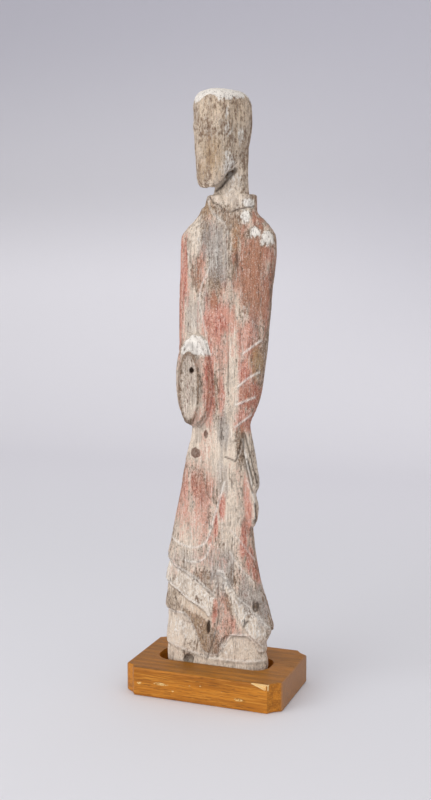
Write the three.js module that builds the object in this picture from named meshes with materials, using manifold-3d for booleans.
// Painted wooden tomb figurine standing in the socket of its wooden stand.
// Millimetres, +Z up. The figure looks along -Y; the origin is under the middle of the stand.
import * as THREE from 'three';
import { mergeVertices } from 'three/addons/utils/BufferGeometryUtils.js';
import Module from 'manifold-3d';

// Figure
const figureHeight = 582;
const headTurn = 27; // degrees, towards the figure's own right
const pegHoleWidth = 4;
const pegHoleHeight = 6;
const pegHoleDepth = 9;

// Socket
const socketDepth = 14;
const socketFloor = 15; // wood left under the socket
const socketEndRadius = 17;
const socketEndRoom = 5.8; // between the foot and each end of the socket
const socketSideRoom = 1.6; // between the foot and each side of the socket
const socketShift = 2; // the foot stands this far right of the socket's middle
const footGap = 0.3;

// Stand
const standEndMargin = 22.2; // wood beyond each end of the socket
const standSideMargin = 32.9; // wood beyond each side of the socket
const standEdge = 1.6; // eased edges
const cornerReturn = [4.5, 6];
const cornerFacet = [7.8, 5.3];
const chipLength = 15;
const chipHeight = 5.5;
const chipDepth = 3.5;
const chipFromCorner = 1;
const chipLean = THREE.MathUtils.degToRad(24);

// Everything carved is given in parts of about a hundredth of the height, measured from under the foot.
const crownTop = 99.5;
const unit = figureHeight / crownTop;
const frontColumns = 28;
const backColumns = 12;
const edgeRoundness = 3;

// Rows of the body: height, left side, right side, front, back
const bodyRows = [
  [0, -9.0, 9.1, 3.2, 3.1],
  [3, -9.35, 9.3, 3.2, 3.1],
  [6, -9.6, 9.1, 3.25, 3.1],
  [8.3, -9.6, 10.3, 3.3, 3.1],
  [12, -9.75, 9.5, 3.3, 3.1],
  [16, -9.7, 8.2, 3.2, 3.0],
  [20, -9.35, 7.35, 3.1, 2.9],
  [24, -8.4, 6.7, 3.0, 2.8],
  [31, -6.9, 6.2, 2.85, 2.7],
  [37.5, -5.75, 6.0, 2.75, 2.6],
  [43.2, -4.55, 5.8, 2.65, 2.5],
  [44.8, -4.85, 6.1, 2.7, 2.5],
  [46.4, -6.5, 6.9, 2.8, 2.6],
  [49.5, -7.0, 7.85, 2.9, 2.7],
  [54, -6.95, 8.4, 3.0, 2.8],
  [60, -6.8, 9.2, 3.05, 2.85],
  [68, -6.7, 9.85, 3.0, 2.8],
  [73.6, -6.6, 10.35, 2.85, 2.7],
  [75.6, -6.45, 10.25, 2.7, 2.6],
  [76.9, -5.55, 9.5, 2.6, 2.5],
  [78.2, -4.1, 8.3, 2.5, 2.4],
  [79.4, -3.1, 7.1, 2.4, 2.3],
  [80.4, -2.7, 6.5, 2.3, 2.25],
];

// Lower edges of the robes across the front: side place, height
const outerHem = [
  [-9.4, 20.3], [-7.8, 19.4], [-4.6, 18.1], [-2.9, 17.3], [-1.3, 16.1], [0.4, 14.7], [0.95, 14.2],
  [1.15, 18.5], [2.0, 18.2], [3.1, 17.1], [4.6, 14.6], [7.1, 12.5], [8.6, 10.8], [9.7, 8.6],
];
const middleHem = [
  [-9.7, 16.2], [-6.7, 14.8], [-4.5, 13.4], [-2.1, 12.4], [-1.1, 11.6], [-0.5, 10.8], [0.1, 12.5],
  [0.7, 16.0], [1.2, 18.9], [2.2, 18.7], [3.0, 16.2], [3.8, 14.0], [4.2, 12.5], [5.0, 11.0],
  [5.7, 9.8], [6.8, 8.4], [8.0, 6.7], [9.0, 5.3], [9.6, 4.9],
];
const lowerHem = [
  [-9.7, 11.2], [-7.3, 10.5], [-5.1, 10.7], [-4.1, 9.6], [-2.8, 6.9], [-1.5, 4.3], [-0.4, 3.9],
  [0.8, 3.9], [1.7, 4.6], [2.6, 6.5], [3.9, 7.8], [6.2, 7.9], [7.3, 6.8], [8.2, 5.0], [9.4, 4.8],
];
const underHem = [[-9.6, 4.9], [-6.5, 4.4], [-3.3, 3.9], [0, 3.3], [9.4, 3.3]];
const hemTuck = 0.7; // how far a robe sinks in under the one over it
const hemOverlap = 1.3;
const backSag = -1.2;

// Head: height, half width, front, back, measured from the middle of the head
const headMiddle = [1.02, -0.69];
const headRows = [
  [83.5, 1.2, -3.6, -2.6],
  [84.0, 1.9, -3.9, -2.1],
  [85.0, 2.5, -4.1, -1.2],
  [86.2, 2.95, -4.2, 0.0],
  [87.4, 3.3, -4.3, 1.6],
  [88.6, 3.55, -4.4, 3.4],
  [90.0, 3.75, -4.5, 4.2],
  [91.5, 3.9, -4.55, 4.6],
  [94.5, 4.1, -4.65, 5.0],
  [96.6, 4.1, -4.65, 4.95],
  [98.0, 3.8, -4.4, 4.5],
  [98.9, 3.2, -3.8, 3.8],
  [99.35, 2.2, -2.8, 2.8],
  [crownTop, 0.8, -1.3, 1.2],
];
const headColumns = 30;
const headRoundness = 2.5;
const headLevels = 21;

// Neck: height, place from the side, place from the front, half width, half depth, share of the head's turn
const neckRows = [
  [78.5, 2.3, 0.1, 4.4, 2.25, 0],
  [80.5, 2.3, 0.3, 3.3, 2.25, 0.2],
  [82.5, 2.25, 0.45, 3.05, 2.1, 0.6],
  [85, 2.15, 0.86, 3.15, 1.95, 1],
  [91, 2.15, 0.9, 3.2, 1.95, 1],
];
const neckRoundness = 2.4;
const collarTop = 82.5;
const collarLean = 0.4; // towards the figure's left, the other side being worn down

// Flat end of the figure's right sleeve, and the cloth that hangs below the left one:
// height, right side, left side, front, back
const cuffFace = { x: -3.55, z: 50.5, wide: 1.75, high: 6.0, y: -4.45 };
const drapeRows = [
  [32.5, 6.6, 7.2, -1.2, 0.2],
  [33.6, 6.0, 7.65, -1.9, 0.8],
  [35.5, 5.6, 7.5, -2.1, 1.1],
  [38.0, 5.3, 7.1, -2.1, 1.1],
  [41.0, 5.0, 6.5, -1.9, 1.0],
  [44.6, 4.7, 5.8, -1.6, 0.8],
];
const underDrapeRows = [
  [26.5, 6.4, 6.9, -0.9, 0.2],
  [27.8, 6.0, 7.35, -1.4, 0.7],
  [30.0, 5.7, 7.5, -1.5, 1.0],
  [32.6, 5.5, 6.9, -1.4, 1.1],
  [37.0, 5.3, 6.4, -1.2, 1.0],
];
const pleatDepth = 0.14;

const wasm = await Module();
wasm.setup();

// A smooth line through rows of numbers that never swings past them
function smoothRow(rows, at) {
  const last = rows.length - 1;
  const width = rows[0].length;
  if (at <= rows[0][0]) return rows[0].slice(1);
  if (at >= rows[last][0]) return rows[last].slice(1);
  let k = 0;
  while (rows[k + 1][0] < at) k += 1;
  const span = rows[k + 1][0] - rows[k][0];
  const t = (at - rows[k][0]) / span;
  const slope = (i, c) => (rows[i + 1][c] - rows[i][c]) / (rows[i + 1][0] - rows[i][0]);
  const tangent = (i, c) => {
    if (i === 0) return slope(0, c);
    if (i === last) return slope(last - 1, c);
    const before = slope(i - 1, c);
    const after = slope(i, c);
    return before * after <= 0 ? 0 : (2 * before * after) / (before + after);
  };
  const values = [];
  for (let c = 1; c < width; c += 1) {
    const a = rows[k][c];
    const b = rows[k + 1][c];
    const m = tangent(k, c) * span;
    const n = tangent(k + 1, c) * span;
    values.push(a + m * t + (3 * (b - a) - 2 * m - n) * t * t + (m + n - 2 * (b - a)) * t * t * t);
  }
  return values;
}

const lineAt = (points, at) => smoothRow(points, at)[0];

// A closed solid through rings of points, its faces turned outwards
function ringSolid(rings) {
  const count = rings[0].length;
  const points = rings.flat();
  const faces = [];
  for (let j = 0; j < rings.length - 1; j += 1) {
    for (let i = 0; i < count; i += 1) {
      const a = j * count + i;
      const b = j * count + ((i + 1) % count);
      faces.push(a, b, b + count, a, b + count, a + count);
    }
  }
  const middle = (ring) => {
    const sum = new THREE.Vector3();
    ring.forEach((point) => sum.add(point));
    return sum.divideScalar(ring.length);
  };
  const top = (rings.length - 1) * count;
  points.push(middle(rings[0]), middle(rings[rings.length - 1]));
  for (let i = 0; i < count; i += 1) {
    const next = (i + 1) % count;
    faces.push(points.length - 2, next, i, points.length - 1, top + i, top + next);
  }
  const geometry = new THREE.BufferGeometry();
  geometry.setAttribute('position', new THREE.Float32BufferAttribute(points.flatMap((p) => p.toArray()), 3));
  geometry.setIndex(faces);
  const solid = toManifold(geometry);
  return solid.volume() > 0 ? solid : ringSolid(rings.map((ring) => [...ring].reverse()));
}

function toManifold(geometry) {
  const bare = geometry.clone();
  bare.deleteAttribute('normal');
  bare.deleteAttribute('uv');
  const merged = mergeVertices(bare, 1e-4);
  return new wasm.Manifold(new wasm.Mesh({
    numProp: 3,
    vertProperties: new Float32Array(merged.attributes.position.array),
    triVerts: new Uint32Array(merged.index.array),
  }));
}

function toGeometry(solid) {
  const mesh = solid.getMesh();
  const geometry = new THREE.BufferGeometry();
  geometry.setAttribute('position', new THREE.Float32BufferAttribute(mesh.vertProperties, 3));
  geometry.setIndex(Array.from(mesh.triVerts));
  geometry.computeVertexNormals();
  return geometry;
}

// A figure point, given in hundredths of the height
const carved = (x, y, z) => new THREE.Vector3(x * unit, y * unit, z * unit);

// Places across a section, -1 at the figure's right side to 1 at its left side, closer at the edges
function across(step, steps) {
  const even = (2 * step) / steps - 1;
  return 0.5 * even + 0.5 * Math.sin((Math.PI / 2) * even);
}

function sectionColumns() {
  const columns = [];
  for (let i = 0; i < frontColumns; i += 1) columns.push({ share: across(i, frontColumns), side: -1 });
  for (let i = 0; i < backColumns; i += 1) columns.push({ share: -across(i, backColumns), side: 1 });
  return columns;
}

function bodyPoint(column, z, lift = 0) {
  const [left, right, front, back] = smoothRow(bodyRows, z);
  const middle = (left + right) / 2;
  const half = (right - left) / 2 + lift;
  const depth = (column.side < 0 ? front : back) + lift;
  const bulge = Math.sqrt(Math.max(0, 1 - Math.abs(column.share) ** edgeRoundness));
  return carved(middle + half * column.share, column.side * depth * bulge, z);
}

// The body's front surface over a place given from the side and the height
function frontY(x, z, lift = 0) {
  const [left, right, front] = smoothRow(bodyRows, z);
  const half = (right - left) / 2 + lift;
  const share = Math.min(0.98, Math.abs((x - (left + right) / 2) / half));
  return -(front + lift) * Math.sqrt(1 - share ** edgeRoundness);
}

// Height of a hem where a column meets it; it runs plain and slightly raised across the back
function hemHeight(hem, column) {
  const first = hem[0][1];
  const last = hem[hem.length - 1][1];
  if (column.side > 0) {
    const along = (column.share + 1) / 2;
    return first + (last - first) * along - backSag * (1 - column.share ** 2);
  }
  let z = (first + last) / 2;
  for (let turn = 0; turn < 8; turn += 1) {
    const [left, right] = smoothRow(bodyRows, z);
    z = lineAt(hem, (left + right) / 2 + ((right - left) / 2) * column.share);
  }
  return z;
}

// The outer robe: from its hem up to the shoulders
function outerRobe() {
  const columns = sectionColumns();
  const rings = [];
  const level = 26;
  const skirtSteps = 5;
  for (let j = 0; j <= skirtSteps; j += 1) {
    const t = j / skirtSteps;
    rings.push(columns.map((column) => {
      const hem = hemHeight(outerHem, column);
      return bodyPoint(column, hem + (level - hem) * t);
    }));
  }
  const heights = [30, 34, 38, 41, 43, 44, 45, 46.2, 48, 51, 56, 62, 68, 72, 74, 75.2, 76.2, 77.2, 78.3,
    79.4, 80.4];
  heights.forEach((z) => rings.push(columns.map((column) => bodyPoint(column, z))));
  return ringSolid(rings);
}

// An under robe: it swells out to its own hem and tucks in under the one above
function underRobe(hem, above) {
  const columns = sectionColumns();
  const steps = 4;
  const rings = [];
  for (let j = 0; j <= steps; j += 1) {
    const t = j / steps;
    rings.push(columns.map((column) => {
      const low = hemHeight(hem, column);
      const high = Math.max(hemHeight(above, column), low + 0.5) + hemOverlap;
      return bodyPoint(column, low + (high - low) * t, -0.08 - hemTuck * t);
    }));
  }
  return ringSolid(rings);
}

// The foot, and the heart of the wood that the robes are carved around
function foot() {
  const columns = sectionColumns();
  const heights = [0, 1.2, 3, 5, 8, 22];
  const lifts = [-0.15, 0, -0.1, -0.45, -0.9, -1.2];
  return ringSolid(heights.map((z, j) => columns.map((column) => bodyPoint(column, z, lifts[j]))));
}

// A thin raised line, or a cut when it is taken away, laid along places on the front surface
function strand(places, width, rise, lift = 0) {
  const path = new THREE.CatmullRomCurve3(places.map(([x, z]) => new THREE.Vector3(x, 0, z)));
  const steps = 2 * (places.length - 1);
  const rings = [];
  for (let j = 0; j <= steps; j += 1) {
    const at = path.getPoint(j / steps);
    const way = path.getTangent(j / steps);
    const ease = Math.sin((Math.PI / 2) * Math.min(1, 0.25 + Math.min(j, steps - j) / 2));
    const half = (width / 2) * ease;
    const y = frontY(at.x, at.z, lift);
    rings.push([
      carved(at.x - way.z * half, y, at.z + way.x * half),
      carved(at.x, y + rise * ease, at.z),
      carved(at.x + way.z * half, y, at.z - way.x * half),
      carved(at.x, y - rise * ease, at.z),
    ]);
  }
  return ringSolid(rings);
}

// An oval rise on the front, from its outline inside the body out to its face
function swelling(outline, face, crispness, steps) {
  const around = 24;
  const rings = [];
  for (let j = 0; j <= steps; j += 1) {
    const rise = j / steps;
    const blend = (key) => outline[key] + (face[key] - outline[key]) * rise;
    const y = outline.y + (face.y - outline.y) * Math.sin((Math.PI / 2) * rise) ** crispness;
    rings.push(Array.from({ length: around }, (_, i) => {
      const angle = (2 * Math.PI * i) / around;
      const x = blend('x') + blend('wide') * Math.cos(angle);
      return carved(x, y, blend('z') + blend('high') * Math.sin(angle));
    }));
  }
  return ringSolid(rings);
}

// The swollen end of the figure's right sleeve, with its flat oval face slightly dished
function cuff() {
  const { x, z, wide, high, y } = cuffFace;
  const mound = swelling(
    { x: -3.25, z: 51.7, wide: 3.45, high: 8.2, y: -1.7 },
    { x: -3.05, z: 51.3, wide: 2.5, high: 6.8, y: -3.85 },
    0.6,
    3,
  );
  const rim = swelling({ x, z, wide: wide + 0.35, high: high + 0.3, y: -3.1 }, cuffFace, 1, 2);
  const inner = { x, z, wide: wide - 0.3, high: high - 0.3 };
  const dish = swelling({ ...inner, y: y - 0.3 }, { ...inner, y: y + 0.16 }, 1, 1);
  return mound.add(rim).subtract(dish);
}

function pegHole() {
  const shape = new THREE.CylinderGeometry(0.5, 0.5, 1, 12);
  shape.scale(pegHoleWidth, 2 * pegHoleDepth, pegHoleHeight);
  shape.translate((cuffFace.x + 0.45) * unit, cuffFace.y * unit, (cuffFace.z + 2.9) * unit);
  return toManifold(shape);
}

// One fall of the cloth that hangs beside the skirt, pleated more the lower it goes
function hangingFold(rows, pleats) {
  const around = 18;
  const steps = 8;
  const low = rows[0][0];
  const high = rows[rows.length - 1][0];
  const rings = [];
  for (let j = 0; j <= steps; j += 1) {
    const t = j / steps;
    const z = low + (high - low) * t;
    const [near, far, front, back] = smoothRow(rows, z);
    rings.push(Array.from({ length: around }, (_, i) => {
      const angle = (2 * Math.PI * i) / around;
      const pleat = 1 + pleatDepth * Math.cos(pleats * angle) * (1 - 0.6 * t);
      const x = (near + far) / 2 + ((far - near) / 2) * pleat * Math.cos(angle);
      const y = (front + back) / 2 + ((back - front) / 2) * pleat * Math.sin(angle);
      return carved(x, y, z);
    }));
  }
  return ringSolid(rings);
}

function ellipsoid(x, y, z, rx, ry, rz) {
  const shape = new THREE.SphereGeometry(1, 14, 10);
  shape.scale(rx * unit, ry * unit, rz * unit);
  shape.translate(x * unit, y * unit, z * unit);
  return toManifold(shape);
}

// A bell-shaped rise, for the features of the face
const bell = (at, middle, width) => Math.exp(-(((at - middle) / width) ** 2));

function faceRelief(x, z) {
  const nose = 0.75 * bell(x, 0, 0.62) * THREE.MathUtils.smoothstep(93.2 - z, 0, 3.4)
    * THREE.MathUtils.smoothstep(z, 88.0, 88.7);
  const brows = 0.24 * bell(Math.abs(x), 1.55, 1.2) * bell(z, 93.3, 0.75);
  const sockets = -0.3 * bell(Math.abs(x), 1.6, 0.85) * bell(z, 91.9, 0.8);
  const lids = 0.16 * bell(Math.abs(x), 1.6, 0.65) * bell(z, 91.8, 0.42);
  const lips = 0.24 * bell(x, 0, 1.1) * bell(z, 86.9, 0.55);
  const chin = 0.22 * bell(x, 0, 1.1) * bell(z, 84.9, 0.7);
  return nose + brows + sockets + lids + lips + chin;
}

function head() {
  const turn = THREE.MathUtils.degToRad(-headTurn);
  const rings = [];
  const bottom = headRows[0][0];
  for (let j = 0; j <= headLevels; j += 1) {
    const even = j / headLevels;
    const z = bottom + (crownTop - bottom) * (0.6 * even + 0.4 * (1 - Math.cos(Math.PI * even)) / 2);
    const [half, front, back] = smoothRow(headRows, z);
    const middle = (front + back) / 2;
    const deep = (back - front) / 2;
    const ring = [];
    for (let i = 0; i < headColumns; i += 1) {
      const angle = (2 * Math.PI * i) / headColumns;
      const squareness = 2 / headRoundness;
      const x = half * Math.sign(Math.cos(angle)) * Math.abs(Math.cos(angle)) ** squareness;
      const side = Math.sign(Math.sin(angle)) * Math.abs(Math.sin(angle)) ** squareness;
      const y = middle + deep * side - (side < 0 ? -side * faceRelief(x, z) : 0);
      ring.push(carved(
        headMiddle[0] + x * Math.cos(turn) - y * Math.sin(turn),
        headMiddle[1] + x * Math.sin(turn) + y * Math.cos(turn),
        z,
      ));
    }
    rings.push(ring);
  }
  return ringSolid(rings);
}

function neck() {
  const around = 24;
  const squareness = 2 / neckRoundness;
  return ringSolid(neckRows.map(([z, x, y, half, deep, share]) => {
    const turn = THREE.MathUtils.degToRad(-headTurn * share);
    return Array.from({ length: around }, (_, i) => {
      const angle = (2 * Math.PI * i) / around;
      const across = half * Math.sign(Math.cos(angle)) * Math.abs(Math.cos(angle)) ** squareness;
      const along = deep * Math.sign(Math.sin(angle)) * Math.abs(Math.sin(angle)) ** squareness;
      return carved(
        x + across * Math.cos(turn) - along * Math.sin(turn),
        y + across * Math.sin(turn) + along * Math.cos(turn),
        z,
      );
    });
  }));
}

// An upright oval of wood between two heights
function post(x, y, low, high, lowHalf, highHalf, lowDeep, highDeep, lean = 0) {
  const around = 24;
  const ring = (middle, z, half, deep) => Array.from({ length: around }, (_, i) => {
    const angle = (2 * Math.PI * i) / around;
    return carved(middle + half * Math.cos(angle), y + deep * Math.sin(angle), z);
  });
  return ringSolid([ring(x, low, lowHalf, lowDeep), ring(x + lean, high, highHalf, highDeep)]);
}

// The standing collar: a low band, hollow inside, open in a V at the front
function collar() {
  const band = post(2.1, 0.25, 79.4, collarTop, 4.75, 4.25, 2.45, 2.4, collarLean);
  const hollow = post(2.25, 0.45, 81.4, collarTop + 0.2, 3.3, 3.8, 1.7, 2.05, collarLean * 0.75);
  return band.subtract(hollow);
}

function neckline() {
  const vee = { x: 2.65, low: 79.2, high: collarTop + 0.4, lowHalf: 0.2, highHalf: 2.5 };
  const rings = [0, 1].map((t) => {
    const z = vee.low + (vee.high - vee.low) * t;
    const half = vee.lowHalf + (vee.highHalf - vee.lowHalf) * t;
    return [
      carved(vee.x - half, -2.9, z),
      carved(vee.x + half, -2.9, z),
      carved(vee.x + half * 0.6, -1.6, z),
      carved(vee.x - half * 0.6, -1.6, z),
    ];
  });
  return ringSolid(rings);
}

function figureSolid() {
  let body = outerRobe()
    .add(underRobe(middleHem, outerHem))
    .add(underRobe(lowerHem, middleHem))
    .add(underRobe(underHem, lowerHem))
    .add(foot());
  body = body.add(collar()).subtract(neckline());
  body = body.add(neck()).add(head());
  body = body.add(cuff()).subtract(pegHole());
  // Hanging cloth at the figure's left side
  body = body
    .add(hangingFold(drapeRows, 7))
    .add(hangingFold(underDrapeRows, 6));
  // Fold lines of the left sleeve and the edges of the wrapped front
  const raised = [
    [[[5.5, 56.2], [7.1, 57.5], [8.5, 58.5]], 0.45, 0.2],
    [[[4.7, 50.8], [6.6, 52.4], [7.9, 53.2]], 0.45, 0.2],
    [[[4.4, 47.8], [6.1, 48.6], [6.9, 49.2]], 0.45, 0.2],
    [[[4.3, 44.2], [5.0, 44.9], [5.9, 46.0]], 0.4, 0.2],
    [[[-7.2, 24.1], [-5.1, 22.9], [-2.5, 22.8], [-0.7, 24.4], [0.4, 28.0], [1.5, 31.5]], 0.5, 0.16],
    [[[-5.0, 20.4], [-3.3, 20.1], [-1.6, 20.7], [-0.5, 22.6]], 0.4, 0.16],
  ];
  raised.forEach(([places, width, rise]) => { body = body.add(strand(places, width, rise)); });
  // The pleat that hangs in the middle of the inner skirt
  body = body.add(strand([[-2.6, 11.2], [-1.7, 8.6], [-0.9, 6.2], [-0.6, 4.4]], 0.9, 0.45, -0.3));
  // Cuts: the cleft, the slit, the pocket under the robe, the rotted notch in the foot
  return body
    .subtract(strand([[1.05, 18.6], [1.05, 14.0], [1.3, 9.7], [0.9, 5.5], [0.2, 3.0]], 0.6, 0.85, -0.1))
    .subtract(ellipsoid(-0.6, -3.1, 8.9, 0.36, 1.1, 1.35))
    .subtract(ellipsoid(7.7, -2.1, 13.1, 0.5, 0.9, 1.0))
    .subtract(ellipsoid(-4.3, -3.2, 2.7, 1.0, 1.3, 1.05));
}

const footHalf = Math.max(...bodyRows.slice(0, 2).map((row) => (row[2] - row[1]) / 2)) * unit;
const footMiddle = ((bodyRows[0][1] + bodyRows[0][2]) / 2) * unit;
const footDepthHalf = bodyRows[1][3] * unit;

function standSolid() {
  const socketHalf = footHalf + socketEndRoom;
  const socketSide = footDepthHalf + socketSideRoom;
  const halfWidth = socketHalf + standEndMargin;
  const halfDepth = socketSide + standSideMargin;
  const height = socketFloor + socketDepth;
  const quarter = [
    [halfWidth - cornerReturn[0] - cornerFacet[0], halfDepth],
    [halfWidth - cornerFacet[0], halfDepth - cornerReturn[1]],
    [halfWidth, halfDepth - cornerReturn[1] - cornerFacet[1]],
  ];
  const mirrored = (signX, signY) => quarter.map(([x, y]) => new THREE.Vector2(signX * x, signY * y));
  const outline = new THREE.Shape([
    ...mirrored(1, -1), ...mirrored(1, 1).reverse(), ...mirrored(-1, 1), ...mirrored(-1, -1).reverse(),
  ]);
  const block = new THREE.ExtrudeGeometry(outline, {
    depth: height - 2 * standEdge,
    bevelThickness: standEdge,
    bevelSize: standEdge,
    bevelOffset: -standEdge,
    bevelSegments: 2,
  });
  block.translate(0, 0, standEdge);

  const radius = Math.min(socketEndRadius, socketSide - 0.5);
  const slot = new THREE.Shape();
  const corners = [[1, -1, -90], [1, 1, 0], [-1, 1, 90], [-1, -1, 180]];
  corners.forEach(([signX, signY, from]) => {
    const start = THREE.MathUtils.degToRad(from);
    slot.absarc(signX * (socketHalf - radius), signY * (socketSide - radius), radius, start,
      start + Math.PI / 2, false);
  });
  const through = { depth: 2 * socketDepth, bevelEnabled: false, curveSegments: 8 };
  const cut = new THREE.ExtrudeGeometry(slot, through);
  cut.translate(-socketShift, 0, socketFloor);

  const chipEnd = halfWidth - cornerReturn[0] - cornerFacet[0] - chipFromCorner;
  const chip = new THREE.Shape([
    new THREE.Vector2(chipEnd - chipLength, height + 1),
    new THREE.Vector2(chipEnd - chipLength, height),
    new THREE.Vector2(chipEnd - 0.2 * chipLength, height - 0.75 * chipHeight),
    new THREE.Vector2(chipEnd, height - chipHeight),
    new THREE.Vector2(chipEnd, height + 1),
  ]);
  const splinter = new THREE.ExtrudeGeometry(chip, { depth: 2 * chipDepth, bevelEnabled: false });
  splinter.rotateX(Math.PI / 2);
  splinter.rotateX(chipLean);
  const leanOut = height * Math.sin(chipLean);
  splinter.translate(0, -halfDepth + chipDepth / 2 + leanOut, height * (1 - Math.cos(chipLean)));
  return toManifold(block).subtract(toManifold(cut)).subtract(toManifold(splinter));
}

const paintedWood = new THREE.MeshStandardMaterial({ color: 0xb9a596, roughness: 0.95, metalness: 0 });
const standWood = new THREE.MeshStandardMaterial({ color: 0xa4652a, roughness: 0.55, metalness: 0 });

const figure = new THREE.Mesh(toGeometry(figureSolid()), paintedWood);
figure.name = 'figure';
figure.position.set(-footMiddle, 0, socketFloor + footGap);

const stand = new THREE.Mesh(toGeometry(standSolid()), standWood);
stand.name = 'stand';

const model = new THREE.Group();
model.add(stand, figure);

export default model;
